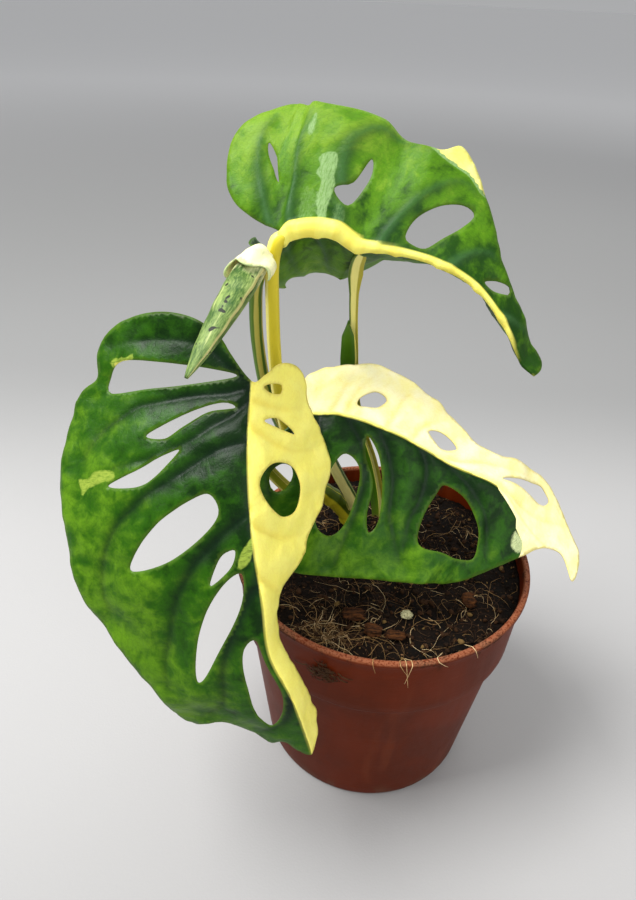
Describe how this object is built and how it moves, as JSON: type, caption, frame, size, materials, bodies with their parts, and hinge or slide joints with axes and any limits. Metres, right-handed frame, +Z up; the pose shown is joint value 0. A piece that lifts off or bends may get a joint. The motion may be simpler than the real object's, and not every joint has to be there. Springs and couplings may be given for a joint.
{
  "type": "potted monstera plant",
  "caption": "Young variegated monstera with holed green and cream leaves, rooted in potting soil in a brown plastic nursery pot",
  "frame": {"origin": "Centre of the flat middle of the pot's underside, level with the surface the pot stands on.", "axes": "+Z is up along the pot's axis, -Y faces the viewer in the usual front view, and +X is to that viewer's right."},
  "size_m": [0.1814, 0.1399, 0.2653],
  "materials": {
    "pot_plastic": "satin",
    "potting_mix": "matte",
    "leaf_blade": "satin",
    "young_leaf": "satin",
    "petiole_skin": "satin",
    "vine_skin": "satin",
    "shoot_skin": "satin",
    "bark": "matte",
    "perlite": "matte"
  },
  "bodies": {
    "root": {"bark_chip_1": "bark", "bark_chip_2": "bark", "bark_chip_3": "bark", "bark_chip_4": "bark", "leaf_furled": "young_leaf", "leaf_lower_left": "leaf_blade", "leaf_lower_right": "leaf_blade", "leaf_top": "leaf_blade", "perlite_bit": "perlite", "petiole_furled": "petiole_skin", "petiole_lower_left": "petiole_skin", "petiole_lower_right": "petiole_skin", "petiole_top": "petiole_skin", "pot": "pot_plastic", "potting_soil": "potting_mix", "sheathed_shoot": "shoot_skin", "vine_stem": "vine_skin"}
  },
  "joints": []
}
